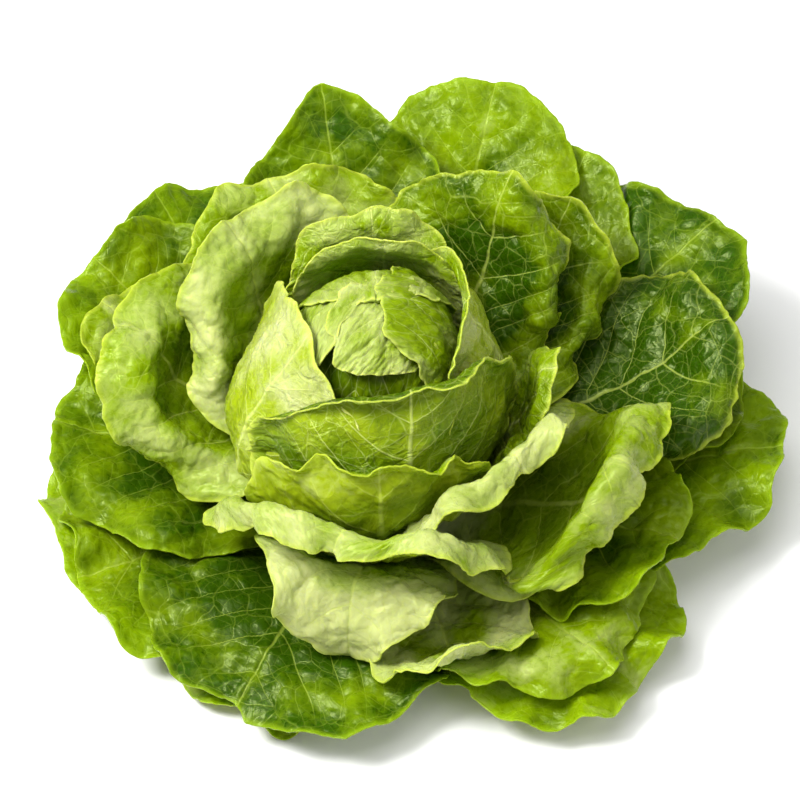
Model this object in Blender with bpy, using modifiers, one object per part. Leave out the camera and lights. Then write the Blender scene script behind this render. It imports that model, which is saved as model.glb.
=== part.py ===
# A butterhead lettuce: a loose round head of crumpled leaves on a short cut stem.
# The origin is the middle of the stem's cut face, and the head stands up along +Z.
# Lengths are in millimetres until a mesh is written, and angles are in degrees.

import math
from dataclasses import dataclass

import bmesh
import bpy
import numpy as np
from mathutils import Vector
from mathutils.bvhtree import BVHTree

MM = 0.001

# The cut stump
STEM_CUT_RADIUS = 15.5
STEM_TOP_RADIUS = 9.0
STEM_HEIGHT = 43.0
STEM_BULGE = 1.2
STEM_DOME = 1.5
STEM_CHAMFER = 1.0
STEM_SIDES = 24

# The ball of folded heart leaves
HEART_SHIFT = -3.0
HEART_CENTRE = 84.0
HEART_RADIUS = 32.0
HEART_HALF_HEIGHT = 35.0
HEART_CLEARANCE = 5.6
HEART_FOLD = 1.2
HEART_SUNK = 2.2
HEART_PUCKER = 0.8
HEART_SEGMENTS = 24

# The blade of a leaf
BLADE = 0.8
RIB = 2.6
RIB_HALF_WIDTH = 4.5
ROOT_POWER = 1.6
WIDEST_AT = 0.56
WIDE_LOBES = 0.04
SMALL_LOBES = 0.03
PUCKER = 0.9
PUCKER_ACROSS = 9.0
PUCKER_ALONG = 11.0
MIDRIB_STEPS = 80
PLAIN_CELLS = 8
ROLLED_CELLS = 10
HEART_CELLS = 10

# How the leaves sit on one another
ROOT_GAP = 0.9
ROOT_STEP = 2.45
ROOT_WINDOW = 72.0
FIRST_RISE = 2.6
LEAF_GAP = 1.7
ROOT_LEAF_GAP = 2.9
REACH_OF_TEST = 16.0
LONGEST_MOVE = 4.0
SETTLED = 0.05
LAST_ROUNDS = 10
OVERSHOOT = 1.05
FLOOR_GAP = 0.5
ROUNDS = 40
FOLD_SHARE = 0.5
CREST_TURN = 60.0
FLAP_TURN = 105.0
FLAP_DEPTH = 4.0


@dataclass
class Leaf:
    turn: float  # direction of the midrib seen from above, from +X
    reach: float  # distance of the tip, or of its fold, from the axis
    height: float  # height of the tip, or of its fold
    leave: float  # climb of the midrib where it leaves the stem
    arrive: float  # climb of the midrib at the tip
    width: float
    cup: float  # how far each half of the blade turns up at its widest
    tip_cup: float = 15.0
    curl: tuple = (0.0, 0.0, 0.0)  # outward roll of the clockwise side, the tip, the other side
    band: float = 18.0  # width of the rolled margin
    ruffle: float = 3.0
    waves: float = 5.0
    pull: tuple = (0.45, 0.35)  # lengths of the two handles of the midrib's curve
    blunt: float = 2.3  # how square the tip is: 2 is an ellipse and less is pointed


# The folded leaves of the heart, each a patch of the ball whose margin stands out of it.
# Direction and climb of the patch's middle, its half widths, the turn of its free margin, its lift.
HEART_LEAVES = [
    (170, 52, 40, 42, 20, 4.4),
    (60, 76, 46, 42, -120, 4.8),
    (-100, 48, 38, 34, 60, 2.6),
    (-15, 50, 42, 44, 150, 4.8),
    (95, 46, 48, 40, 90, 4.0),
]

# From the inside out. The photographed side of the head is -Y.
WRAPPER_LEAVES = [
    Leaf(90, 27, 112, 20, 120, 64, 84, 60, (0, 35, 0), 10, 2.0, 4),
    Leaf(-154, 27, 114, 4, 140, 116, 72, 60, (0, 0, 0), 12, 1.5, 3, (0.85, 0.62), 3.2),
    Leaf(8, 26, 114, 12, 126, 92, 78, 60, (20, 30, 30), 10, 2.5, 4, (0.62, 0.5)),
    Leaf(-77, 33, 112, 16, 112, 108, 78, 62, (30, 65, -12), 9, 2.5, 5, (0.58, 0.47), 2.8),
    Leaf(95, 52, 97, 18, 98, 68, 58, 45, (10, 50, 10), 12, 3.0, 5),
    Leaf(-8, 56, 90, 18, 88, 46, 40, 30, (20, 50, 30), 9, 2.5, 4),
]

MIDDLE_LEAVES = [
    Leaf(140, 64, 94, 15, 84, 96, 52, 30, (0, 45, 120), 20, 4.0, 4),
    Leaf(-92, 50, 87, 16, 90, 84, 60, 40, (0, 25, 0), 10, 3.0, 4),
    Leaf(57, 76, 95, 16, 78, 86, 40, 28, (150, 40, 0), 17, 4.0, 4),
    Leaf(-43, 58, 85, 14, 89, 92, 56, 40, (50, 130, 60), 16, 4.0, 4),
    Leaf(166, 84, 70, 13, 82, 96, 42, 30, (0, 60, 125), 24, 3.5, 4),
    Leaf(-104, 66, 79, 12, 88, 126, 38, 30, (140, 125, 70), 18, 4.0, 5),
    Leaf(49, 104, 87, 15, 68, 86, 38, 20, (140, 0, 0), 18, 4.0, 4),
    Leaf(-25, 88, 74, 13, 84, 106, 46, 30, (120, 145, 60), 23, 4.0, 5),
    Leaf(114, 97, 72, 13, 60, 102, 42, 25, (0, 30, 20), 12, 4.0, 5),
    Leaf(-99, 87, 26, 52, -78, 70, 22, 10, (0, 0, 0), 14, 4.0, 5, (0.95, 0.5), 1.9),
    Leaf(17, 121, 60, 12, 46, 96, 30, 15, (140, 30, 0), 15, 4.0, 5),
    Leaf(152, 109, 47, 10, 50, 70, 30, 20, (0, 20, 0), 12, 3.0, 5),
    Leaf(-73, 97, 37, 4, 72, 66, 26, 30, (0, 20, 0), 10, 3.5, 4),
]

OUTER_LEAVES = [
    Leaf(100, 137, 87, 11, 48, 94, 34, 40, (0, 0, 0), 14, 3.5, 4, blunt=1.5),
    Leaf(74, 148, 71, 11, 36, 84, 26, 12, (0, 20, 0), 12, 4.0, 5),
    Leaf(145, 134, 57, 10, 30, 94, 28, 12, (0, 0, 0), 14, 4.5, 5),
    Leaf(58, 148, 61, 8, 32, 76, 22, 12, (0, 0, 0), 14, 4.0, 5),
    Leaf(37, 156, 57, 8, 24, 100, 20, 10, (0, 0, 0), 14, 4.5, 6),
    Leaf(-20, 116, 40, 10, 26, 90, 26, 15, (0, 0, 0), 14, 5.0, 5),
    Leaf(129, 141, 54, 8, 26, 104, 22, 12, (0, 0, 0), 14, 4.5, 5),
    Leaf(88, 132, 65, 7, 42, 72, 24, 20, (0, 0, 0), 14, 4.0, 5),
    Leaf(172, 123, 32, 9, 10, 108, 24, 10, (0, 0, 30), 14, 5.0, 6),
    Leaf(-49, 107, 30, 9, 10, 88, 20, 5, (0, 50, 45), 16, 5.0, 6),
    Leaf(-118, 117, 16, 12, -12, 118, 18, 6, (0, 0, 0), 14, 5.0, 5, (0.6, 0.35)),
    Leaf(22, 144, 34, 6, 18, 88, 18, 10, (0, 0, 0), 14, 4.5, 5),
    Leaf(3, 148, 29, 6, 6, 100, 18, 8, (0, 0, 0), 14, 5.0, 6),
    Leaf(-160, 123, 16, 6, 2, 106, 16, 8, (0, 0, 0), 14, 5.0, 6),
    Leaf(-44, 132, 15, 5, 0, 98, 14, 5, (0, 0, 0), 14, 5.0, 7),
    Leaf(-178, 127, 14, 5, 4, 98, 14, 8, (0, 0, 0), 14, 5.0, 5),
    Leaf(-120, 115, 7, 3, -1, 78, 8, 5, (0, 0, 0), 14, 3.0, 5),
]


def clear_scene():
    for thing in list(bpy.data.objects):
        bpy.data.objects.remove(thing, do_unlink=True)


def make_material(name, colour, roughness):
    material = bpy.data.materials.new(name)
    material.use_nodes = True
    shader = material.node_tree.nodes["Principled BSDF"]
    shader.inputs["Base Color"].default_value = (*colour, 1.0)
    shader.inputs["Roughness"].default_value = roughness
    shader.inputs["Metallic"].default_value = 0.0
    return material


def stem_radius(height):
    share = np.clip(height / STEM_HEIGHT, 0.0, 1.0)
    straight = STEM_CUT_RADIUS + (STEM_TOP_RADIUS - STEM_CUT_RADIUS) * share
    return straight + STEM_BULGE * np.sin(math.pi * share)


def smooth_step(value):
    value = np.clip(value, 0.0, 1.0)
    return value * value * (3.0 - 2.0 * value)


# Each leaf is worked out on a square grid that is mapped to a round disc, and the disc to its outline.
def disc_of_grid(cells):
    steps = np.linspace(-1.0, 1.0, cells + 1)
    across, along = np.meshgrid(steps, steps, indexing="ij")
    radius = np.maximum(abs(across), abs(along))
    wide = abs(across) >= abs(along)
    safe_across = np.where(across == 0.0, 1.0, across)
    safe_along = np.where(along == 0.0, 1.0, along)
    angle_wide = math.pi / 4 * along / safe_across + np.where(across < 0.0, math.pi, 0.0)
    angle_tall = np.where(along < 0.0, -math.pi / 2, math.pi / 2) - math.pi / 4 * across / safe_along
    angle = np.where(wide, angle_wide, angle_tall)
    return 1.0 - (1.0 - radius) ** 1.3, angle


class Shape:
    """One leaf's surface: its midrib, its outline, its cupped blade and its rolled margin."""

    def __init__(self, leaf, rise, seed, cells):
        self.leaf = leaf
        self.cells = cells
        self.triangles = grid_triangles(cells)
        self.rise = rise
        self.phase = np.random.default_rng(seed).uniform(0.0, 2 * math.pi, 6)
        self.make_midrib()
        extra = leaf.band if leaf.curl[1] > 0.0 else 0.0
        self.length = self.midrib_length + extra
        self.q, self.angle = disc_of_grid(cells)
        self.points = self.spread()
        self.add_waves()

    def make_midrib(self):
        leaf = self.leaf
        root = np.array([stem_radius(self.rise) + ROOT_GAP, self.rise])
        tip = np.array([leaf.reach, leaf.height])
        chord = np.linalg.norm(tip - root)
        out = np.array([math.cos(math.radians(leaf.leave)), math.sin(math.radians(leaf.leave))])
        end = np.array([math.cos(math.radians(leaf.arrive)), math.sin(math.radians(leaf.arrive))])
        t = np.linspace(0.0, 1.0, MIDRIB_STEPS + 1)[:, None]
        first = root + leaf.pull[0] * chord * out
        second = tip - leaf.pull[1] * chord * end
        curve = (1 - t) ** 3 * root + 3 * (1 - t) ** 2 * t * first + 3 * (1 - t) * t**2 * second + t**3 * tip
        steps = np.diff(curve, axis=0)
        self.run = np.concatenate([[0.0], np.cumsum(np.linalg.norm(steps, axis=1))])
        climbs = np.unwrap(np.arctan2(steps[:, 1], steps[:, 0]))
        self.climb = np.concatenate([climbs[:1], (climbs[1:] + climbs[:-1]) / 2, climbs[-1:]])
        self.curve = curve
        self.midrib_length = self.run[-1]

    def outline(self, angle):
        half = self.leaf.width / 2
        upper = np.sin(angle) > 0.0
        along = np.where(upper, (1 - WIDEST_AT) * self.length, WIDEST_AT * self.length)
        power = np.where(upper, self.leaf.blunt, ROOT_POWER)
        total = (abs(np.cos(angle)) / half) ** power + (abs(np.sin(angle)) / along) ** power
        lobes = WIDE_LOBES * np.sin(2 * angle + self.phase[0])
        lobes += SMALL_LOBES * np.sin(5 * angle + self.phase[1])
        return total ** (-1 / power) * (1 + lobes * smooth_step(np.sin(angle) + 0.9))

    def place(self, x, y):
        """Where a point of the flat leaf lies in space, x across and y along the midrib."""
        leaf = self.leaf
        s = np.clip(y, 0.0, self.midrib_length)
        over = y - s
        climb = np.interp(s, self.run, self.climb)
        radius = np.interp(s, self.run, self.curve[:, 0]) + over * np.cos(climb)
        height = np.interp(s, self.run, self.curve[:, 1]) + over * np.sin(climb)
        share = np.clip(y / self.length, 0.0, 1.0)
        cup = leaf.cup * smooth_step(0.35 + share * 1.6)
        cup += (leaf.tip_cup - leaf.cup) * smooth_step(share * 2 - 1)
        bend = np.radians(cup) / (leaf.width / 2)
        across = np.sin(bend * x) / bend
        inward = (1 - np.cos(bend * x)) / bend
        turn = math.radians(leaf.turn)
        out = np.array([math.cos(turn), math.sin(turn), 0.0])
        side = np.array([-math.sin(turn), math.cos(turn), 0.0])
        up = np.array([0.0, 0.0, 1.0])
        radius = radius - inward * np.sin(climb)
        height = height + inward * np.cos(climb)
        return radius[..., None] * out + across[..., None] * side + height[..., None] * up

    def curl_at(self, angle):
        clockwise, tip, other = self.leaf.curl
        upward = np.clip(np.sin(angle), 0.0, 1.0) ** 2
        flank = np.where(np.cos(angle) < 0.0, clockwise, other) * np.cos(angle) ** 2
        fade = smooth_step(np.sin(angle) + 0.85)
        return np.radians(tip * upward + flank) * fade

    def spread(self):
        edge = self.outline(self.angle)
        band = min(self.leaf.band, 0.45 * self.leaf.width)
        ray = self.q * edge
        anchor = np.minimum(ray, edge - band)
        beyond = ray - anchor
        middle = WIDEST_AT * self.length
        curl = self.curl_at(self.angle)
        curl = np.where(abs(curl) < 1e-3, 1e-3, curl)
        fold = FOLD_SHARE * band
        bend = curl / fold
        bent = np.minimum(beyond, fold)
        straight = beyond - bent
        self.turned = np.degrees(bend * bent)

        def at(distance, angle):
            return self.place(distance * np.cos(angle), middle + distance * np.sin(angle))

        base = at(anchor, self.angle)
        outward = at(anchor + 0.5, self.angle) - at(anchor - 0.5, self.angle)
        outward /= np.linalg.norm(outward, axis=-1, keepdims=True)
        x, y = anchor * np.cos(self.angle), middle + anchor * np.sin(self.angle)
        along = self.place(x, y + 0.5) - self.place(x, y - 0.5)
        across = self.place(x + 0.5, y) - self.place(x - 0.5, y)
        normal = np.cross(along, across)
        normal /= np.linalg.norm(normal, axis=-1, keepdims=True)
        rise = (np.sin(bend * bent) / bend + straight * np.cos(bend * bent))[..., None]
        drop = ((1 - np.cos(bend * bent)) / bend + straight * np.sin(bend * bent))[..., None]
        self.flat_x = ray * np.cos(self.angle)
        self.flat_y = middle + ray * np.sin(self.angle)
        return base + outward * rise - normal * drop

    def add_waves(self):
        leaf = self.leaf
        edge = np.clip((self.q - 0.4) / 0.6, 0.0, 1.0) ** 2
        fade = smooth_step(np.sin(self.angle) * 0.8 + 0.9)
        wave = 0.7 * np.sin(leaf.waves * self.angle + self.phase[2])
        wave += 0.35 * np.sin((2 * leaf.waves + 1) * self.angle + self.phase[3])
        pucker = np.sin(self.flat_x / PUCKER_ACROSS + self.phase[4])
        pucker *= np.sin(self.flat_y / PUCKER_ALONG + self.phase[5])
        lift = leaf.ruffle * edge * fade * wave + PUCKER * pucker * fade * (self.q > 0.1)
        self.points = self.points + grid_normals(self.points) * lift[..., None]


def grid_normals(points):
    along = np.gradient(points, axis=1)
    across = np.gradient(points, axis=0)
    normal = np.cross(along, across)
    return normal / np.maximum(np.linalg.norm(normal, axis=-1, keepdims=True), 1e-9)


def grid_triangles(cells):
    triangles = []
    for i in range(cells):
        for j in range(cells):
            a, b = i * (cells + 1) + j, (i + 1) * (cells + 1) + j
            if (i < cells / 2) == (j < cells / 2):
                triangles += [(a, b, b + 1), (a, b + 1, a + 1)]
            else:
                triangles += [(a, b, a + 1), (b, b + 1, a + 1)]
    return np.array(triangles)


def root_rises(leaves):
    """Heights of the roots on the stem, from the outermost leaf up."""
    rises = {}
    for index in range(len(leaves) - 1, -1, -1):
        below = [
            rises[other] + ROOT_STEP
            for other in rises
            if abs((leaves[other].turn - leaves[index].turn + 180) % 360 - 180) < ROOT_WINDOW
        ]
        rises[index] = max(below, default=FIRST_RISE)
    return rises


def along_share(shape):
    return np.clip(shape.flat_y / shape.length, 0.0, 1.0)


def half_thickness(shape):
    rib = np.exp(-((shape.flat_x / RIB_HALF_WIDTH) ** 2)) * (1 - along_share(shape)) ** 1.2
    return (BLADE + (RIB - BLADE) * rib) / 2


class Wall:
    """A leaf that is in place, as something that the next leaf out has to pass outside."""

    def __init__(self, shape):
        points = shape.points.reshape(-1, 3)
        turned = shape.turned.reshape(-1)[shape.triangles].mean(axis=1)
        self.tree = BVHTree.FromPolygons(points.tolist(), shape.triangles.tolist())
        corners = points[shape.triangles]
        outward = np.cross(corners[:, 1] - corners[:, 0], corners[:, 2] - corners[:, 0])
        outward /= np.linalg.norm(outward, axis=1, keepdims=True)
        outward[turned > FLAP_TURN] *= -1.0
        middle = corners.mean(axis=1) * np.array([1.0, 1.0, 0.0])
        radial = (outward * middle).sum(axis=1) / np.maximum(np.linalg.norm(middle, axis=1), 1.0)
        self.outward = [Vector(way) for way in outward]
        self.two_sided = (radial < -0.25) | ((turned > CREST_TURN) & (turned <= FLAP_TURN))
        self.depth_seen = np.where(turned > FLAP_TURN, FLAP_DEPTH, REACH_OF_TEST)
        self.low = points.min(axis=0) - REACH_OF_TEST
        self.high = points.max(axis=0) + REACH_OF_TEST

    def push(self, samples, gaps):
        """How far each sample has to move to be outside this leaf."""
        moves = np.zeros_like(samples)
        near = np.flatnonzero(((samples > self.low) & (samples < self.high)).all(axis=1))
        for k in near:
            point = Vector(samples[k])
            found, _, face, distance = self.tree.find_nearest(point, REACH_OF_TEST)
            if found is None:
                continue
            away = point - found
            side = away.dot(self.outward[face])
            if abs(side) >= 0.7 * distance and not self.two_sided[face]:
                if side < gaps[k] and distance < self.depth_seen[face]:
                    moves[k] = self.outward[face] * (gaps[k] - side)
            elif distance < gaps[k] and distance > 1e-6:
                moves[k] = away * ((gaps[k] - distance) / distance)
        return moves


def heart_centre():
    return np.array([HEART_SHIFT, 0.0, HEART_CENTRE])


def heart_push(samples, gaps):
    scale = np.array([HEART_RADIUS, HEART_RADIUS, HEART_HALF_HEIGHT])
    offset = samples - heart_centre()
    size = np.linalg.norm(offset / scale, axis=1)
    wanted = 1 + (gaps + HEART_CLEARANCE) / HEART_RADIUS
    return offset * np.maximum(wanted / np.maximum(size, 0.2) - 1, 0.0)[:, None]


def spread_out(field, rounds):
    """Shares each vertex's move with its neighbours, so that the blade bends and doesn't dent."""
    least = field
    for _ in range(rounds):
        padded = np.pad(field, ((1, 1), (1, 1), (0, 0)), mode="edge")
        mean = (padded[:-2, 1:-1] + padded[2:, 1:-1] + padded[1:-1, :-2] + padded[1:-1, 2:]) / 4
        field = field * 0.4 + mean * 0.6
        short = np.linalg.norm(field, axis=-1) < 0.6 * np.linalg.norm(least, axis=-1)
        field = np.where(short[..., None], 0.6 * least, field)
    return field


def bend_clear(shape, walls):
    """Bends a leaf outwards until it lies outside every leaf that is already in place."""
    share = along_share(shape)
    half = half_thickness(shape).reshape(-1)
    gap = (LEAF_GAP + (ROOT_LEAF_GAP - LEAF_GAP) * (1 - share) ** 2).reshape(-1)
    groups = [np.arange(len(half))[:, None], shape.triangles]
    groups += [shape.triangles[:, pair] for pair in ([0, 1], [1, 2], [2, 0])]
    gaps = np.concatenate([gap[group].mean(axis=1) for group in groups])
    floor = FLOOR_GAP + half
    hold = smooth_step(share * 12).reshape(-1, 1)
    for turn in range(ROUNDS):
        points = shape.points.reshape(-1, 3)
        samples = np.concatenate([points[group].mean(axis=1) for group in groups])
        moved = samples + heart_push(samples, gaps)
        for wall in walls:
            moved = moved + wall.push(moved, gaps)
        moves = moved - samples
        field = np.zeros_like(points)
        size = np.zeros(len(points))
        start = 0
        for group in groups:
            for corners, move in zip(group, moves[start : start + len(group)]):
                length = np.linalg.norm(move)
                for corner in corners:
                    if length > size[corner]:
                        field[corner] = move
                        size[corner] = length
            start += len(group)
        if size.max() < SETTLED:
            break
        field *= np.minimum(1.0, LONGEST_MOVE / np.maximum(size, 1e-6))[:, None]
        passes = 2 if turn < ROUNDS - LAST_ROUNDS else 1
        field = spread_out((field * hold).reshape(shape.points.shape), passes)
        points = points + OVERSHOOT * field.reshape(-1, 3)
        points[:, 2] = np.maximum(points[:, 2], floor)
        shape.points = points.reshape(shape.points.shape)


def grid_surface(points, weights=None):
    """A square grid moved to the given points and split into triangles, with weights on its vertices."""
    cells = points.shape[0] - 1
    surface = bmesh.new()
    bmesh.ops.create_grid(surface, x_segments=cells, y_segments=cells, size=1.0)
    flesh = surface.verts.layers.deform.verify()
    for vertex in surface.verts:
        i = round((vertex.co.x + 1) / 2 * cells)
        j = round((vertex.co.y + 1) / 2 * cells)
        vertex.co = Vector(points[i, j]) * MM
        if weights is not None:
            vertex[flesh][0] = float(weights[i, j])
    bmesh.ops.triangulate(surface, faces=surface.faces[:], quad_method="SHORT_EDGE")
    return surface


def leaf_object(name, shape, material, collection):
    """The leaf's surface, and the modifier that gives it its flesh."""
    surface = grid_surface(shape.points, (2 * half_thickness(shape) - BLADE) / (RIB - BLADE))
    mesh = bpy.data.meshes.new(name)
    surface.to_mesh(mesh)
    surface.free()
    mesh.shade_smooth()
    mesh.materials.append(material)
    thing = bpy.data.objects.new(name, mesh)
    collection.objects.link(thing)
    thing.vertex_groups.new(name="flesh")
    solid = thing.modifiers.new("flesh", "SOLIDIFY")
    solid.thickness = RIB * MM
    solid.offset = 0.0
    solid.vertex_group = "flesh"
    solid.thickness_vertex_group = BLADE / RIB
    return thing


def heart_patch(number, values, collection):
    """One folded heart leaf: a crumpled patch sunk in the ball except along its free margin."""
    turn, climb, wide, tall, margin, lift = values
    radius, angle = disc_of_grid(HEART_CELLS)
    margin_angle = math.radians(margin)
    free = smooth_step(0.5 + 0.75 * radius * np.cos(angle - margin_angle))
    centre = np.array([
        math.cos(math.radians(climb)) * math.cos(math.radians(turn)),
        math.cos(math.radians(climb)) * math.sin(math.radians(turn)),
        math.sin(math.radians(climb)),
    ])
    side = np.array([-math.sin(math.radians(turn)), math.cos(math.radians(turn)), 0.0])
    up = np.cross(centre, side)
    x = np.radians(wide) * radius * np.cos(angle)
    y = np.radians(tall) * radius * np.sin(angle)
    way = centre + np.tan(x)[..., None] * side - np.tan(y)[..., None] * up
    way /= np.linalg.norm(way, axis=-1, keepdims=True)
    folds = np.sin(9 * x + number) * np.sin(7 * y + 2 * number) + 0.6 * np.sin(15 * x * y + 3 * number)
    height = -HEART_SUNK + (lift + HEART_SUNK + HEART_PUCKER * folds) * free
    size = np.array([HEART_RADIUS, HEART_RADIUS, HEART_HALF_HEIGHT])
    points = way * (size + height[..., None]) + heart_centre()
    surface = grid_surface(points)
    mesh = bpy.data.meshes.new(f"heart_leaf_{number}")
    surface.to_mesh(mesh)
    surface.free()
    patch = bpy.data.objects.new(mesh.name, mesh)
    collection.objects.link(patch)
    solid = patch.modifiers.new("flesh", "SOLIDIFY")
    solid.thickness = HEART_FOLD * MM
    solid.offset = 0.0
    return patch


def make_heart(collection):
    """The ball of folded leaves: a core and the heart leaves that stand out of it, joined as one body."""
    leaves = bpy.data.collections.new("heart_leaves")
    bpy.context.scene.collection.children.link(leaves)
    for number, values in enumerate(HEART_LEAVES):
        heart_patch(number, values, leaves)
    core = bmesh.new()
    bmesh.ops.create_uvsphere(core, u_segments=HEART_SEGMENTS, v_segments=HEART_SEGMENTS // 2, radius=1.0)
    for vertex in core.verts:
        direction = math.atan2(vertex.co.y, vertex.co.x)
        climb = math.asin(max(-1.0, min(1.0, vertex.co.z)))
        crease = 0.9 * math.sin(5 * direction + 4 * climb) * math.cos(climb)
        crease += 0.7 * math.sin(9 * direction - 6 * climb) * math.cos(climb)
        size = Vector((HEART_RADIUS, HEART_RADIUS, HEART_HALF_HEIGHT)) + Vector((crease, crease, crease))
        vertex.co = (vertex.co * size + Vector(heart_centre())) * MM
    mesh = bpy.data.meshes.new("heart_core")
    core.to_mesh(mesh)
    core.free()
    ball = bpy.data.objects.new("heart_core", mesh)
    bpy.context.scene.collection.objects.link(ball)
    join = ball.modifiers.new("join", "BOOLEAN")
    join.operation = "UNION"
    join.operand_type = "COLLECTION"
    join.collection = leaves
    join.solver = "EXACT"
    bpy.context.view_layer.update()
    joined = ball.evaluated_get(bpy.context.evaluated_depsgraph_get())
    mesh = bpy.data.meshes.new_from_object(joined)
    mesh.name = "heart"
    mesh.materials.clear()
    mesh.materials.append(make_material("heart", (0.45, 0.55, 0.17), 0.4))
    mesh.shade_smooth()
    heart = bpy.data.objects.new("heart", mesh)
    collection.objects.link(heart)
    for thing in [ball, *leaves.objects]:
        bpy.data.objects.remove(thing, do_unlink=True)
    bpy.data.collections.remove(leaves)
    return heart


def make_stem(collection):
    """The cut stump, turned from its profile."""
    top = [(0.0, STEM_HEIGHT + STEM_DOME), (0.6 * STEM_TOP_RADIUS, STEM_HEIGHT + 0.6 * STEM_DOME)]
    heights = np.linspace(STEM_HEIGHT - STEM_CHAMFER, STEM_CHAMFER, 6)
    side = [(float(stem_radius(height)), height) for height in heights]
    foot = [(STEM_CUT_RADIUS - STEM_CHAMFER, 0.0), (0.0, 0.0)]
    profile = bmesh.new()
    corners = [profile.verts.new((r * MM, 0.0, z * MM)) for r, z in top + side + foot]
    for first, second in zip(corners, corners[1:]):
        profile.edges.new((first, second))
    mesh = bpy.data.meshes.new("stem")
    profile.to_mesh(mesh)
    profile.free()
    mesh.materials.append(make_material("stem", (0.72, 0.68, 0.45), 0.6))
    stem = bpy.data.objects.new("stem", mesh)
    collection.objects.link(stem)
    screw = stem.modifiers.new("turn", "SCREW")
    screw.steps = STEM_SIDES
    screw.render_steps = STEM_SIDES
    screw.use_merge_vertices = True
    screw.merge_threshold = 0.00005
    screw.use_smooth_shade = True
    return stem


def main():
    clear_scene()
    collection = bpy.data.collections.new("butterhead_lettuce")
    bpy.context.scene.collection.children.link(collection)
    leaves = WRAPPER_LEAVES + MIDDLE_LEAVES + OUTER_LEAVES
    names = [f"wrapper_leaf_{k + 1:02d}" for k in range(len(WRAPPER_LEAVES))]
    names += [f"middle_leaf_{k + 1:02d}" for k in range(len(MIDDLE_LEAVES))]
    names += [f"outer_leaf_{k + 1:02d}" for k in range(len(OUTER_LEAVES))]
    rises = root_rises(leaves)
    make_stem(collection)
    make_heart(collection)
    walls = []
    for index, leaf in enumerate(leaves):
        cells = ROLLED_CELLS if leaf in MIDDLE_LEAVES else PLAIN_CELLS
        shape = Shape(leaf, rises[index], index, cells)
        bend_clear(shape, walls)
        walls.append(Wall(shape))
        green = index / len(leaves)
        colour = (0.32 - 0.24 * green, 0.5 - 0.24 * green, 0.1 - 0.07 * green)
        leaf_object(names[index], shape, make_material(names[index], colour, 0.4), collection)


if __name__ == "__main__":
    main()
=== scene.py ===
import math

import bmesh
import bpy
import numpy as np
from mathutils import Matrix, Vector
from mathutils.bvhtree import BVHTree


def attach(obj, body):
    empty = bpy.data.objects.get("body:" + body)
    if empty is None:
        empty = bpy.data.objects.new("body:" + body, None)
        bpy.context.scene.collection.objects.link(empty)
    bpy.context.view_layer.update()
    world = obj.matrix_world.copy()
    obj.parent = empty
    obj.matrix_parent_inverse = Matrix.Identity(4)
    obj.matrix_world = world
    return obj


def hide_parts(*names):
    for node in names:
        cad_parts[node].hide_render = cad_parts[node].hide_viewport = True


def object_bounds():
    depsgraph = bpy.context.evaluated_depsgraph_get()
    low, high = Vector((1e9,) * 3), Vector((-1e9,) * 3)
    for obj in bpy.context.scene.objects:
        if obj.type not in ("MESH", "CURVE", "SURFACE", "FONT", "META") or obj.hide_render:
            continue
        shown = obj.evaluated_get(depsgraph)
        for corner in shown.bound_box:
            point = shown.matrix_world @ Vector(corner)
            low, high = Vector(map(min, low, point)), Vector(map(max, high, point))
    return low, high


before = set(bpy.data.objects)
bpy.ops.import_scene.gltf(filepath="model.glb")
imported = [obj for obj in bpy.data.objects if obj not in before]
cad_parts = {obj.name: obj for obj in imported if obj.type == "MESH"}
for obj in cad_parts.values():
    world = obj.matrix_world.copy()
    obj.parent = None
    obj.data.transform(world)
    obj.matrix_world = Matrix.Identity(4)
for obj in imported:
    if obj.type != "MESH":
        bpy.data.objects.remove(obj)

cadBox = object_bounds()
mm = 0.001

# A butterhead lettuce. Every leaf is worked out on a coarse grid, bent clear of the leaves inside it,
# and then drawn again on a fine grid with its blisters, veins and ruffles.

stemShape = {"cutRadius": 15.5, "topRadius": 9.0, "height": 43.0, "bulge": 1.2}
heartShape = {"shift": -3.0, "centre": 84.0, "radius": 32.0, "halfHeight": 35.0, "clearance": 5.6}
ballSize = np.array([heartShape["radius"], heartShape["radius"], heartShape["halfHeight"]])
bladeShape = {
    "blade": 0.8, "rib": 2.6, "ribHalfWidth": 4.5,
    "rootPower": 1.6, "widestAt": 0.56, "wideLobes": 0.04, "smallLobes": 0.03,
    "pucker": 0.9, "puckerAcross": 9.0, "puckerAlong": 11.0, "midribSteps": 80,
}
packing = {
    "plainCells": 8, "rolledCells": 10,
    "rootGap": 0.9, "rootStep": 2.45, "rootWindow": 72.0, "firstRise": 2.6,
    "leafGap": 1.7, "rootLeafGap": 2.9, "reachOfTest": 16.0, "longestMove": 4.0, "settled": 0.05,
    "overshoot": 1.05, "floorGap": 0.5, "rounds": 40, "lastRounds": 10,
    "foldShare": 0.5, "crestTurn": 60.0, "flapTurn": 105.0, "flapDepth": 4.0,
}


def leafValues(turn, reach, height, leave, arrive, width, cup, tipCup=15.0, curl=(0.0, 0.0, 0.0), band=18.0,
               ruffle=3.0, waves=5.0, pull=(0.45, 0.35), blunt=2.3, tone=0.5, tip=0.0):
    return dict(locals())


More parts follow.
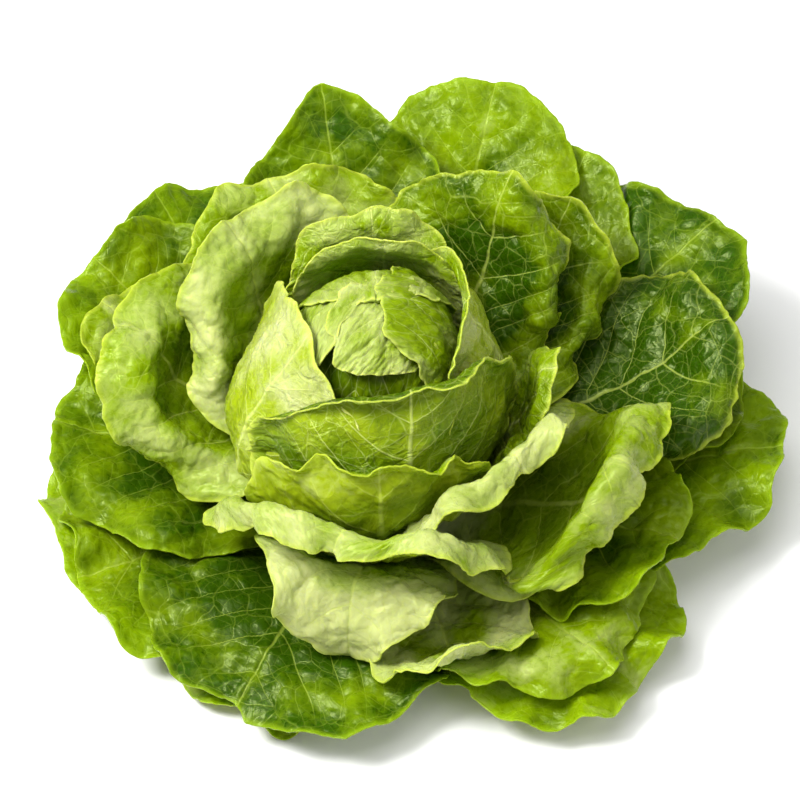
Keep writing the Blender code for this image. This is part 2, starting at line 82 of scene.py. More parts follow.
# From the inside out. Angles in degrees, lengths in millimetres. Tone runs from dark green (0) to pale (1),
# and tip is how much paler the leaf gets towards its end.
wrapperLeaves = [
    leafValues(90, 27, 112, 20, 120, 64, 84, 60, (0, 35, 0), 10, 2.0, 4, tone=0.6),
    leafValues(-154, 27, 114, 4, 140, 116, 72, 60, (0, 0, 0), 12, 1.5, 3, (0.85, 0.62), 3.2,
               tone=0.46, tip=0.35),
    leafValues(8, 26, 114, 12, 126, 92, 78, 60, (20, 30, 30), 10, 2.5, 4, (0.62, 0.5), tone=0.5),
    leafValues(-77, 33, 112, 16, 112, 108, 78, 62, (30, 65, -12), 9, 2.5, 5, (0.58, 0.47), 2.8, tone=0.14),
    leafValues(95, 52, 97, 18, 98, 68, 58, 45, (10, 50, 10), 12, 3.0, 5, tone=0.54),
    leafValues(-8, 56, 90, 18, 88, 46, 40, 30, (20, 50, 30), 9, 2.5, 4, tone=0.44),
]
middleLeaves = [
    leafValues(140, 64, 94, 15, 84, 96, 52, 30, (0, 45, 120), 20, 4.0, 4, tone=0.66),
    leafValues(-92, 50, 87, 16, 90, 84, 60, 40, (0, 25, 0), 10, 3.0, 4, tone=0.36),
    leafValues(57, 76, 95, 16, 78, 86, 40, 28, (150, 40, 0), 17, 4.0, 4, tone=0.1),
    leafValues(-43, 58, 85, 14, 89, 92, 56, 40, (50, 130, 60), 16, 4.0, 4, tone=0.7),
    leafValues(166, 84, 70, 13, 82, 96, 42, 30, (0, 60, 125), 24, 3.5, 4, tone=0.46),
    leafValues(-104, 66, 79, 12, 88, 126, 38, 30, (140, 125, 70), 18, 4.0, 5, tone=0.62),
    leafValues(49, 104, 87, 15, 68, 86, 38, 20, (140, 0, 0), 18, 4.0, 4, tone=0.12),
    leafValues(-25, 88, 74, 13, 84, 106, 46, 30, (120, 145, 60), 23, 4.0, 5, tone=0.46),
    leafValues(114, 97, 72, 13, 60, 102, 42, 25, (0, 30, 20), 12, 4.0, 5, tone=0.42),
    leafValues(-99, 87, 26, 52, -78, 70, 22, 10, (0, 0, 0), 14, 4.0, 5, (0.95, 0.5), 1.9, tone=0.76, tip=0.9),
    leafValues(17, 121, 60, 12, 46, 96, 30, 15, (140, 30, 0), 15, 4.0, 5, tone=-0.1),
    leafValues(152, 109, 47, 10, 50, 70, 30, 20, (0, 20, 0), 12, 3.0, 5, tone=0.4),
    leafValues(-73, 97, 37, 4, 72, 66, 26, 30, (0, 20, 0), 10, 3.5, 4, tone=0.7),
]
outerLeaves = [
    leafValues(100, 137, 87, 11, 48, 94, 34, 40, (0, 0, 0), 14, 3.5, 4, blunt=1.5, tone=0.1),
    leafValues(74, 148, 71, 11, 36, 84, 26, 12, (0, 20, 0), 12, 4.0, 5, tone=0.27),
    leafValues(145, 134, 57, 10, 30, 94, 28, 12, (0, 0, 0), 14, 4.5, 5, tone=0.22),
    leafValues(58, 148, 61, 8, 32, 76, 22, 12, (0, 0, 0), 14, 4.0, 5, tone=0.18),
    leafValues(37, 156, 57, 8, 24, 100, 20, 10, (0, 0, 0), 14, 4.5, 6, tone=-0.06),
    leafValues(-20, 116, 40, 10, 26, 90, 26, 15, (0, 0, 0), 14, 5.0, 5, tone=0.3),
    leafValues(129, 141, 54, 8, 26, 104, 22, 12, (0, 0, 0), 14, 4.5, 5, tone=0.1),
    leafValues(88, 132, 65, 7, 42, 72, 24, 20, (0, 0, 0), 14, 4.0, 5, tone=0.36),
    leafValues(172, 123, 32, 9, 10, 108, 24, 10, (0, 0, 30), 14, 5.0, 6, tone=0.12),
    leafValues(-49, 107, 30, 9, 10, 88, 20, 5, (0, 50, 45), 16, 5.0, 6, tone=0.46),
    leafValues(-118, 117, 16, 12, -12, 118, 18, 6, (0, 0, 0), 14, 5.0, 5, (0.6, 0.35), tone=0.0),
    leafValues(22, 144, 34, 6, 18, 88, 18, 10, (0, 0, 0), 14, 4.5, 5, tone=0.2),
    leafValues(3, 148, 29, 6, 6, 100, 18, 8, (0, 0, 0), 14, 5.0, 6, tone=0.25),
    leafValues(-160, 123, 16, 6, 2, 106, 16, 8, (0, 0, 0), 14, 5.0, 6, tone=0.28),
    leafValues(-44, 132, 15, 5, 0, 98, 14, 5, (0, 0, 0), 14, 5.0, 7, tone=0.42),
    leafValues(-178, 127, 14, 5, 4, 98, 14, 8, (0, 0, 0), 14, 5.0, 5, tone=0.4),
    leafValues(-120, 115, 7, 3, -1, 78, 8, 5, (0, 0, 0), 14, 3.0, 5, tone=0.55),
]


def stemRadius(height):
    share = np.clip(height / stemShape["height"], 0.0, 1.0)
    straight = stemShape["cutRadius"] + (stemShape["topRadius"] - stemShape["cutRadius"]) * share
    return straight + stemShape["bulge"] * np.sin(math.pi * share)


def heartCentre():
    return np.array([heartShape["shift"], 0.0, heartShape["centre"]])


def smoothStep(value):
    value = np.clip(value, 0.0, 1.0)
    return value * value * (3.0 - 2.0 * value)


def discOfGrid(cells):  # a square grid drawn onto a round disc: distance from the middle, and direction
    steps = np.linspace(-1.0, 1.0, cells + 1)
    across, along = np.meshgrid(steps, steps, indexing="ij")
    radius = np.maximum(abs(across), abs(along))
    wide = abs(across) >= abs(along)
    safeAcross = np.where(across == 0.0, 1.0, across)
    safeAlong = np.where(along == 0.0, 1.0, along)
    angleWide = math.pi / 4 * along / safeAcross + np.where(across < 0.0, math.pi, 0.0)
    angleTall = np.where(along < 0.0, -math.pi / 2, math.pi / 2) - math.pi / 4 * across / safeAlong
    return 1.0 - (1.0 - radius) ** 1.3, np.where(wide, angleWide, angleTall)


def gridNormals(points):  # towards the upper, inner side of the leaf
    normal = np.cross(np.gradient(points, axis=1), np.gradient(points, axis=0))
    return normal / np.maximum(np.linalg.norm(normal, axis=-1, keepdims=True), 1e-9)


def soften(field, passes):  # evens out a grid of vectors, the rim along itself
    for _ in range(passes):
        inner = (field[:-2, 1:-1] + field[2:, 1:-1] + field[1:-1, :-2] + field[1:-1, 2:]) / 4
        field = field.copy()
        for rim in (field[0], field[-1], field[:, 0], field[:, -1]):
            rim[1:-1] = rim[1:-1] / 2 + (rim[:-2] + rim[2:]) / 4
        for i, j in ((0, 0), (0, -1), (-1, 0), (-1, -1)):
            field[i, j] = (field[i, 1 if j == 0 else -2] + field[1 if i == 0 else -2, j]) / 2
        field[1:-1, 1:-1] = field[1:-1, 1:-1] / 2 + inner / 2
    return field


def fineNormals(points):  # as above, evened out so that a pressed margin doesn't fray
    normal = soften(gridNormals(points), fineShape["normalPasses"])
    return normal / np.maximum(np.linalg.norm(normal, axis=-1, keepdims=True), 1e-9)


def gridTriangles(cells):
    triangles = []
    for i in range(cells):
        for j in range(cells):
            a, b = i * (cells + 1) + j, (i + 1) * (cells + 1) + j
            if (i < cells / 2) == (j < cells / 2):
                triangles += [(a, b, b + 1), (a, b + 1, a + 1)]
            else:
                triangles += [(a, b, a + 1), (b, b + 1, a + 1)]
    return np.array(triangles)


class LeafShape:  # one leaf's surface: its midrib, outline, cupped blade and rolled margin
    def __init__(self, leaf, rise, seed, cells):
        self.leaf = leaf
        self.cells = cells
        self.rise = rise
        self.phase = np.random.default_rng(seed).uniform(0.0, 2 * math.pi, 6)
        self.makeMidrib()
        self.length = self.midribLength + (leaf["band"] if leaf["curl"][1] > 0.0 else 0.0)
        self.q, self.angle = discOfGrid(cells)
        self.points = self.spread()
        self.addWaves()
        self.share = np.clip(self.flatY / self.length, 0.0, 1.0)

    def makeMidrib(self):
        leaf = self.leaf
        root = np.array([stemRadius(self.rise) + packing["rootGap"], self.rise])
        tip = np.array([leaf["reach"], leaf["height"]])
        chord = np.linalg.norm(tip - root)
        out = np.array([math.cos(math.radians(leaf["leave"])), math.sin(math.radians(leaf["leave"]))])
        end = np.array([math.cos(math.radians(leaf["arrive"])), math.sin(math.radians(leaf["arrive"]))])
        t = np.linspace(0.0, 1.0, bladeShape["midribSteps"] + 1)[:, None]
        first = root + leaf["pull"][0] * chord * out
        second = tip - leaf["pull"][1] * chord * end
        curve = (1 - t) ** 3 * root + 3 * (1 - t) ** 2 * t * first + 3 * (1 - t) * t**2 * second + t**3 * tip
        steps = np.diff(curve, axis=0)
        self.run = np.concatenate([[0.0], np.cumsum(np.linalg.norm(steps, axis=1))])
        climbs = np.unwrap(np.arctan2(steps[:, 1], steps[:, 0]))
        self.climb = np.concatenate([climbs[:1], (climbs[1:] + climbs[:-1]) / 2, climbs[-1:]])
        self.curve = curve
        self.midribLength = self.run[-1]

    def outline(self, angle):
        half = self.leaf["width"] / 2
        upper = np.sin(angle) > 0.0
        widestAt = bladeShape["widestAt"]
        along = np.where(upper, (1 - widestAt) * self.length, widestAt * self.length)
        power = np.where(upper, self.leaf["blunt"], bladeShape["rootPower"])
        total = (abs(np.cos(angle)) / half) ** power + (abs(np.sin(angle)) / along) ** power
        lobes = bladeShape["wideLobes"] * np.sin(2 * angle + self.phase[0])
        lobes += bladeShape["smallLobes"] * np.sin(5 * angle + self.phase[1])
        return total ** (-1 / power) * (1 + lobes * smoothStep(np.sin(angle) + 0.9))

    def place(self, x, y):
        leaf = self.leaf
        s = np.clip(y, 0.0, self.midribLength)
        over = y - s
        climb = np.interp(s, self.run, self.climb)
        radius = np.interp(s, self.run, self.curve[:, 0]) + over * np.cos(climb)
        height = np.interp(s, self.run, self.curve[:, 1]) + over * np.sin(climb)
        share = np.clip(y / self.length, 0.0, 1.0)
        cup = leaf["cup"] * smoothStep(0.35 + share * 1.6)
        cup += (leaf["tipCup"] - leaf["cup"]) * smoothStep(share * 2 - 1)
        bend = np.radians(cup) / (leaf["width"] / 2)
        across = np.sin(bend * x) / bend
        inward = (1 - np.cos(bend * x)) / bend
        turn = math.radians(leaf["turn"])
        out = np.array([math.cos(turn), math.sin(turn), 0.0])
        side = np.array([-math.sin(turn), math.cos(turn), 0.0])
        up = np.array([0.0, 0.0, 1.0])
        radius = radius - inward * np.sin(climb)
        height = height + inward * np.cos(climb)
        return radius[..., None] * out + across[..., None] * side + height[..., None] * up

    def curlAt(self, angle):
        clockwise, tip, other = self.leaf["curl"]
        upward = np.clip(np.sin(angle), 0.0, 1.0) ** 2
        flank = np.where(np.cos(angle) < 0.0, clockwise, other) * np.cos(angle) ** 2
        return np.radians(tip * upward + flank) * smoothStep(np.sin(angle) + 0.85)

    def spread(self):
        edge = self.outline(self.angle)
        band = min(self.leaf["band"], 0.45 * self.leaf["width"])
        ray = self.q * edge
        anchor = np.minimum(ray, edge - band)
        beyond = ray - anchor
        middle = bladeShape["widestAt"] * self.length
        curl = self.curlAt(self.angle)
        curl = np.where(abs(curl) < 1e-3, 1e-3, curl)
        fold = packing["foldShare"] * band
        bend = curl / fold
        bent = np.minimum(beyond, fold)
        straight = beyond - bent
        self.turned = np.degrees(bend * bent)

        def at(distance, angle):
            return self.place(distance * np.cos(angle), middle + distance * np.sin(angle))

        base = at(anchor, self.angle)
        outward = at(anchor + 0.5, self.angle) - at(anchor - 0.5, self.angle)
        outward /= np.linalg.norm(outward, axis=-1, keepdims=True)
        x, y = anchor * np.cos(self.angle), middle + anchor * np.sin(self.angle)
        along = self.place(x, y + 0.5) - self.place(x, y - 0.5)
        across = self.place(x + 0.5, y) - self.place(x - 0.5, y)
        normal = np.cross(along, across)
        normal /= np.linalg.norm(normal, axis=-1, keepdims=True)
        rise = (np.sin(bend * bent) / bend + straight * np.cos(bend * bent))[..., None]
        drop = ((1 - np.cos(bend * bent)) / bend + straight * np.sin(bend * bent))[..., None]
        self.flatX = ray * np.cos(self.angle)
        self.flatY = middle + ray * np.sin(self.angle)
        return base + outward * rise - normal * drop

    def addWaves(self):
        leaf = self.leaf
        edge = np.clip((self.q - 0.4) / 0.6, 0.0, 1.0) ** 2
        fade = smoothStep(np.sin(self.angle) * 0.8 + 0.9)
        wave = 0.7 * np.sin(leaf["waves"] * self.angle + self.phase[2])
        wave += 0.35 * np.sin((2 * leaf["waves"] + 1) * self.angle + self.phase[3])
        pucker = np.sin(self.flatX / bladeShape["puckerAcross"] + self.phase[4])
        pucker *= np.sin(self.flatY / bladeShape["puckerAlong"] + self.phase[5])
        lift = leaf["ruffle"] * edge * fade * wave + bladeShape["pucker"] * pucker * fade * (self.q > 0.1)
        normals = fineNormals if self.cells >= fineShape["cells"] else gridNormals
        self.points = self.points + normals(self.points) * lift[..., None]


def rootRises(leaves):  # heights of the roots on the stem, from the outermost leaf up
    rises = {}
    for index in range(len(leaves) - 1, -1, -1):
        below = [
            rises[other] + packing["rootStep"]
            for other in rises
            if abs((leaves[other]["turn"] - leaves[index]["turn"] + 180) % 360 - 180) < packing["rootWindow"]
        ]
        rises[index] = max(below, default=packing["firstRise"])
    return rises


def halfThickness(shape):
    rib = np.exp(-((shape.flatX / bladeShape["ribHalfWidth"]) ** 2)) * (1 - shape.share) ** 1.2
    return (bladeShape["blade"] + (bladeShape["rib"] - bladeShape["blade"]) * rib) / 2


class Wall:  # a leaf that is in place, as something that the next leaf out has to pass outside
    def __init__(self, shape, triangles):
        points = shape.points.reshape(-1, 3)
        turned = shape.turned.reshape(-1)[triangles].mean(axis=1)
        self.tree = BVHTree.FromPolygons(points.tolist(), triangles.tolist())
        corners = points[triangles]
        outward = np.cross(corners[:, 1] - corners[:, 0], corners[:, 2] - corners[:, 0])
        outward /= np.linalg.norm(outward, axis=1, keepdims=True)
        flap = turned > packing["flapTurn"]
        outward[flap] *= -1.0
        middle = corners.mean(axis=1) * np.array([1.0, 1.0, 0.0])
        radial = (outward * middle).sum(axis=1) / np.maximum(np.linalg.norm(middle, axis=1), 1.0)
        self.outward = [Vector(way) for way in outward]
        self.twoSided = (radial < -0.25) | ((turned > packing["crestTurn"]) & ~flap)
        self.depthSeen = np.where(flap, packing["flapDepth"], packing["reachOfTest"])
        self.low = points.min(axis=0) - packing["reachOfTest"]
        self.high = points.max(axis=0) + packing["reachOfTest"]

    def push(self, samples, gaps):
        moves = np.zeros_like(samples)
        near = np.flatnonzero(((samples > self.low) & (samples < self.high)).all(axis=1))
        for k in near:
            point = Vector(samples[k])
            found, _, face, distance = self.tree.find_nearest(point, packing["reachOfTest"])
            if found is None:
                continue
            away = point - found
            side = away.dot(self.outward[face])
            if abs(side) >= 0.7 * distance and not self.twoSided[face]:
                if side < gaps[k] and distance < self.depthSeen[face]:
                    moves[k] = self.outward[face] * (gaps[k] - side)
            elif distance < gaps[k] and distance > 1e-6:
                moves[k] = away * ((gaps[k] - distance) / distance)
        return moves


def heartPush(samples, gaps):
    offset = samples - heartCentre()
    size = np.linalg.norm(offset / ballSize, axis=1)
    wanted = 1 + (gaps + heartShape["clearance"]) / heartShape["radius"]
    return offset * np.maximum(wanted / np.maximum(size, 0.2) - 1, 0.0)[:, None]


def spreadOut(field, passes):  # shares a move with its neighbours, so that the blade bends and isn't dented
    least = field
    for _ in range(passes):
        padded = np.pad(field, ((1, 1), (1, 1), (0, 0)), mode="edge")
        mean = (padded[:-2, 1:-1] + padded[2:, 1:-1] + padded[1:-1, :-2] + padded[1:-1, 2:]) / 4
        field = field * 0.4 + mean * 0.6
        short = np.linalg.norm(field, axis=-1) < 0.6 * np.linalg.norm(least, axis=-1)
        field = np.where(short[..., None], 0.6 * least, field)
    return field


def bendClear(shape, walls, triangles):  # bends a leaf outwards until it lies outside the leaves in place
    half = halfThickness(shape).reshape(-1)
    leafGap, rootLeafGap = packing["leafGap"], packing["rootLeafGap"]
    gap = (leafGap + (rootLeafGap - leafGap) * (1 - shape.share) ** 2).reshape(-1)
    groups = [np.arange(len(half))[:, None], triangles]
    groups += [triangles[:, pair] for pair in ([0, 1], [1, 2], [2, 0])]
    gaps = np.concatenate([gap[group].mean(axis=1) for group in groups])
    floor = packing["floorGap"] + half
    hold = smoothStep(shape.share * 12).reshape(-1, 1)
    for turn in range(packing["rounds"]):
        points = shape.points.reshape(-1, 3)
        samples = np.concatenate([points[group].mean(axis=1) for group in groups])
        moved = samples + heartPush(samples, gaps)
        for wall in walls:
            moved = moved + wall.push(moved, gaps)
        moves = moved - samples
        field = np.zeros_like(points)
        size = np.zeros(len(points))
        start = 0
        for group in groups:
            for corners, move in zip(group, moves[start : start + len(group)]):
                length = np.linalg.norm(move)
                for corner in corners:
                    if length > size[corner]:
                        field[corner] = move
                        size[corner] = length
            start += len(group)
        if size.max() < packing["settled"]:
            break
        field *= np.minimum(1.0, packing["longestMove"] / np.maximum(size, 1e-6))[:, None]
        passes = 2 if turn < packing["rounds"] - packing["lastRounds"] else 1
        field = spreadOut((field * hold).reshape(shape.points.shape), passes)
        points = points + packing["overshoot"] * field.reshape(-1, 3)
        points[:, 2] = np.maximum(points[:, 2], floor)
        shape.points = points.reshape(shape.points.shape)


# The fine surface

fineShape = {
    "cells": 96,             # 96 is a multiple of 8; the rolled leaves use the next multiple of 10
    "blade": 0.6,            # thickness of the blade
    "lateralSpacing": 15.0,  # between side veins along the midrib
    "lateralSlope": 0.55,
    "lateralSweep": 0.011,
    "smoothing": 0.35,       # 0 keeps every bend of the coarse grid, 1 rounds them all
    "pointPasses": 4,        # how often the fine points, and their normals, are evened out
    "normalPasses": 6,
}
relief = {  # heights in millimetres
    "outer": {
        "blister": 0.45, "fine": 0.04, "puff": 0.9, "lateral": 0.4, "midrib": 1.3,
        "crumple": 6.5, "wrinkle": 4.4, "crease": 2.4, "ruffle": 2.8, "lip": 0.0,
    },
    "middle": {
        "blister": 0.35, "fine": 0.03, "puff": 0.8, "lateral": 0.35, "midrib": 1.1,
        "crumple": 5.6, "wrinkle": 4.2, "crease": 2.8, "ruffle": 2.2, "lip": 0.8,
    },
    "wrapper": {
        "blister": 0.3, "fine": 0.04, "puff": 0.7, "lateral": 0.35, "midrib": 1.0,
        "crumple": 3.6, "wrinkle": 3.4, "crease": 2.0, "ruffle": 1.0, "lip": 2.0,
    },
    "heart": {
        "blister": 0.3, "fine": 0.04, "puff": 0.5, "lateral": 0.3, "midrib": 0.3,
        "crumple": 2.6, "wrinkle": 2.8, "crease": 2.6, "ruffle": 0.6, "lip": 0.0,
    },
}
reliefForm = {
    "marginFrom": 0.55, "lipFrom": 0.86,           # 0 in the middle of the blade, 1 at its margin
    "blisterFall": 0.28, "blisterLevel": 0.6,      # a blister drops this near a line of the net
    "veinHalfWidth": 1.5, "smoothByRib": 6.0,      # millimetres
    "wideWaves": 9, "smallWaves": 14, "smallWave": 0.6, "waves": 0.6,
    "wideNotches": 8, "wideNotch": 1.2, "smallNotches": 19, "smallNotch": 0.5, "ragged": 6.0,
    "floorGap": 0.1,
}
net = {  # patterns on the flat leaf: its unit in millimetres, how often each comes in it, and the net's warp
    "unit": 10.0, "warpScale": 0.5, "warp": 1.1, "coarse": 0.78, "fine": 2.1,
    "crumple": 0.26, "wrinkle": 0.8, "crease": 1.3,
}


def addNode(tree, kind, inputs=None, **settings):
    node = tree.nodes.new(kind)
    for name, value in settings.items():
        setattr(node, name, value)
    for name, value in (inputs or {}).items():
        if isinstance(value, bpy.types.NodeSocket):
            tree.links.new(value, node.inputs[name])
        else:
            node.inputs[name].default_value = value
    return node


def mathNode(tree, operation, first, second=0.0, third=0.0):
    node = addNode(tree, "ShaderNodeMath", {0: first, 1: second, 2: third}, operation=operation)
    return node.outputs[0]


def noiseNode(tree, place, scale, detail, distortion=0.0):
    inputs = {"Vector": place, "Scale": scale, "Detail": detail, "Distortion": distortion}
    return addNode(tree, "ShaderNodeTexNoise", inputs).outputs[0]


def netNodes(tree, place):  # the net of veins, drawn with the same nodes for the shape and for the colour
    warp = addNode(tree, "ShaderNodeTexNoise", {"Vector": place, "Scale": net["warpScale"], "Detail": 2.0})
    shift = addNode(
        tree, "ShaderNodeVectorMath", {0: warp.outputs["Color"], 1: (0.5, 0.5, 0.5)}, operation="SUBTRACT",
    )
    moved = addNode(
        tree, "ShaderNodeVectorMath", {0: shift.outputs[0], 1: (net["warp"],) * 3, 2: place},
        operation="MULTIPLY_ADD",
    )
    edges = []
    for scale in (net["coarse"], net["fine"]):
        cells = addNode(
            tree, "ShaderNodeTexVoronoi", {"Vector": moved.outputs[0], "Scale": scale},
            voronoi_dimensions="2D", feature="DISTANCE_TO_EDGE",
        )
        edges.append(cells.outputs["Distance"])
    return edges


def netPlace(shape):  # where a leaf's points lie on the flat pattern
    flat = np.stack([shape.flatX, shape.flatY, 0 * shape.flatX], axis=-1)
    return flat / net["unit"] + shape.netShift


def sampleNet(shapes):  # reads the net and the noises at the leaves' points, through geometry nodes
    places = np.concatenate([netPlace(shape).reshape(-1, 3) for shape in shapes])
    mesh = bpy.data.meshes.new("netPoints")
    mesh.from_pydata(places.tolist(), [], [])
    holder = bpy.data.objects.new("netPoints", mesh)
    bpy.context.scene.collection.objects.link(holder)
    tree = bpy.data.node_groups.new("netPoints", "GeometryNodeTree")
    tree.interface.new_socket("Geometry", in_out="INPUT", socket_type="NodeSocketGeometry")
    tree.interface.new_socket("Geometry", in_out="OUTPUT", socket_type="NodeSocketGeometry")
    source = tree.nodes.new("NodeGroupInput").outputs[0]
    place = tree.nodes.new("GeometryNodeInputPosition").outputs[0]
    coarse, fine = netNodes(tree, place)
    crumple = noiseNode(tree, place, net["crumple"], 1.5)
    wrinkle = noiseNode(tree, place, net["wrinkle"], 3.0)
    crease = noiseNode(tree, place, net["crease"], 2.0)
    fields = {"edges": (coarse, fine, crease), "noises": (crumple, wrinkle, 0.0)}
    for name, (x, y, z) in fields.items():
        vector = addNode(tree, "ShaderNodeCombineXYZ", {"X": x, "Y": y, "Z": z})
        store = addNode(
            tree, "GeometryNodeStoreNamedAttribute",
            {"Geometry": source, "Name": name, "Value": vector.outputs[0]},
            data_type="FLOAT_VECTOR", domain="POINT",
        )
        source = store.outputs[0]
    tree.links.new(source, tree.nodes.new("NodeGroupOutput").inputs[0])
    holder.modifiers.new("net", "NODES").node_group = tree
    graph = bpy.context.evaluated_depsgraph_get()
    read = holder.evaluated_get(graph).to_mesh()
    found = []
    for name in fields:
        values = np.empty(len(places) * 3, dtype=np.float32)
        read.attributes[name].data.foreach_get("vector", values)
        found.append(values.reshape(-1, 3).astype(float))
    bpy.data.objects.remove(holder, do_unlink=True)
    bpy.data.meshes.remove(mesh)
    bpy.data.node_groups.remove(tree)
    return np.concatenate(found, axis=1)


def splineWeights(coarse, fine):  # a smooth curve through the coarse grid's points, read at the fine grid's
    smoothing = fineShape["smoothing"]
    weights = np.zeros((fine + 1, coarse + 1))
    for row, place in enumerate(np.linspace(0.0, coarse, fine + 1)):
        k = min(int(place), coarse - 1)
        f = place - k
        through = [
            (-f**3 + 2 * f**2 - f) / 2,
            (3 * f**3 - 5 * f**2 + 2) / 2,
            (-3 * f**3 + 4 * f**2 + f) / 2,
            (f**3 - f**2) / 2,
        ]
        near = [
            (1 - f) ** 3 / 6,
            (3 * f**3 - 6 * f**2 + 4) / 6,
            (-3 * f**3 + 3 * f**2 + 3 * f + 1) / 6,
            f**3 / 6,
        ]
        for step in range(4):
            column = min(max(k - 1 + step, 0), coarse)
            weights[row, column] += through[step] * (1 - smoothing) + near[step] * smoothing
    return weights


def lateralPhase(x, y, shape):  # the side veins: whole numbers lie between two veins, and halves on one
    wiggle = 2.2 * np.sin(x / 13 + shape.phase[1]) * np.sin(y / 17 + shape.phase[3])
    wiggle += 1.1 * np.sin(x / 6.5 + y / 9 + shape.phase[5])
    start = y - fineShape["lateralSlope"] * abs(x) - fineShape["lateralSweep"] * x**2 + wiggle
    return start / fineShape["lateralSpacing"] + 0.16 * np.sin(start / 11 + shape.phase[2])


def markVeins(shape):  # midrib, side veins and their strength, for the shape and for the colour
    ribWidth = 0.5 + 3.2 * (1 - shape.share) ** 1.6
    shape.rib = shape.flatX / ribWidth
    shape.phaseOfLateral = lateralPhase(shape.flatX, shape.flatY, shape)
    shape.lateralStrength = smoothStep((1.02 - shape.q) * 2.2) * smoothStep(shape.share * 4 - 0.2)


def addRelief(shape, heights, sampled):  # presses blisters, veins, creases and ruffles into the smooth leaf
    form = reliefForm
    coarse, fine, crease, crumple, wrinkle = [sampled[:, k].reshape(shape.q.shape) for k in range(5)]
    fromRoot = smoothStep(shape.share * 3)
    edge = np.clip((shape.q - form["marginFrom"]) / (1 - form["marginFrom"]), 0.0, 1.0) ** 1.5
    up = smoothStep(np.sin(shape.angle) * 0.8 + 0.9)
    blister = 1 - np.exp(-((coarse / form["blisterFall"]) ** 2))
    small = 1 - np.exp(-((fine / form["blisterFall"]) ** 2))
    puff = 0.5 + 0.5 * np.cos(2 * math.pi * shape.phaseOfLateral)
    across = abs(shape.phaseOfLateral % 1.0 - 0.5) * fineShape["lateralSpacing"]
    lateral = np.exp(-((across / form["veinHalfWidth"]) ** 2)) * shape.lateralStrength
    midrib = np.exp(-(shape.rib**2) * 0.7) * (1 - 0.7 * shape.share)

    # Heights towards the upper face
    height = heights["blister"] * (blister - form["blisterLevel"]) * (1 - 0.5 * lateral)
    height += heights["fine"] * (small - 0.5)
    height *= 1 - np.exp(-((shape.flatX / form["smoothByRib"]) ** 2)) * 0.7
    height += heights["crumple"] * (crumple - 0.5) + heights["wrinkle"] * (wrinkle - 0.5)
    height -= heights["crease"] * 2 * abs(crease - 0.5)
    height += heights["puff"] * (puff - 0.5) * shape.lateralStrength - heights["lateral"] * lateral
    height *= fromRoot
    height -= heights["midrib"] * midrib
    waves = np.sin(form["wideWaves"] * shape.angle + shape.phase[4])
    waves += form["smallWave"] * np.sin(form["smallWaves"] * shape.angle + shape.phase[0])
    height += heights["ruffle"] * edge * up * waves * form["waves"]
    height -= heights["lip"] * smoothStep((shape.q - form["lipFrom"]) * 7) * up
    normals = fineNormals(shape.points)

    # Notches along the margin
    step = np.linspace(-1.0, 1.0, shape.cells + 1)
    outward = np.gradient(shape.points, axis=0) * step[:, None, None]
    outward += np.gradient(shape.points, axis=1) * step[None, :, None]
    outward /= np.maximum(np.linalg.norm(outward, axis=-1, keepdims=True), 1e-6)
    outward = soften(outward, fineShape["normalPasses"])
    notch = form["wideNotch"] * np.sin(form["wideNotches"] * shape.angle + shape.phase[2])
    notch += form["smallNotch"] * np.sin(form["smallNotches"] * shape.angle + shape.phase[5])
    notch += form["ragged"] * (wrinkle - 0.5)
    shape.points = shape.points + normals * height[..., None]
    shape.points = shape.points + outward * (notch * edge**2 * up)[..., None]
    lowest = halfThickness(shape) + form["floorGap"]
    shape.points[..., 2] = np.maximum(shape.points[..., 2], lowest)


def makePiece(name, surface):  # a finished bmesh as an object of the scene
    mesh = bpy.data.meshes.new(name)
    surface.to_mesh(mesh)
    surface.free()
    mesh.shade_smooth()
    piece = bpy.data.objects.new(name, mesh)
    bpy.context.scene.collection.objects.link(piece)
    return piece


def gridMesh(name, points, attributes, flesh):  # flesh runs from 0, as thin as the blade, to 1 at the midrib
    cells = points.shape[0] - 1
    surface = bmesh.new()
    bmesh.ops.create_grid(surface, x_segments=cells, y_segments=cells, size=1.0)
    bmesh.ops.reverse_faces(surface, faces=surface.faces[:])
    piece = makePiece(name, surface)
    mesh = piece.data
    flat = np.empty(len(mesh.vertices) * 3)
    mesh.vertices.foreach_get("co", flat)
    index = np.rint((flat.reshape(-1, 3)[:, :2] + 1) / 2 * cells).astype(int)
    i, j = index[:, 0], index[:, 1]
    mesh.vertices.foreach_set("co", (points[i, j] * mm).reshape(-1))
    mesh.update()
    for key, values in attributes.items():
        layer = mesh.attributes.new(key, "FLOAT_VECTOR", "POINT")
        layer.data.foreach_set("vector", values[i, j].reshape(-1))
    thick = piece.vertex_groups.new(name="flesh")
    weights = np.round(flesh[i, j], 2)
    for level in np.unique(weights):
        members = np.flatnonzero(weights == level)
        thick.add(members.tolist(), float(level), "REPLACE")
    solid = piece.modifiers.new("flesh", "SOLIDIFY")
    solid.thickness = bladeShape["rib"] * mm
    solid.offset = 0.0
    solid.vertex_group = "flesh"
    solid.thickness_vertex_group = fineShape["blade"] / bladeShape["rib"]
    solid.material_offset = 1
    solid.material_offset_rim = 0
    return piece


# Materials

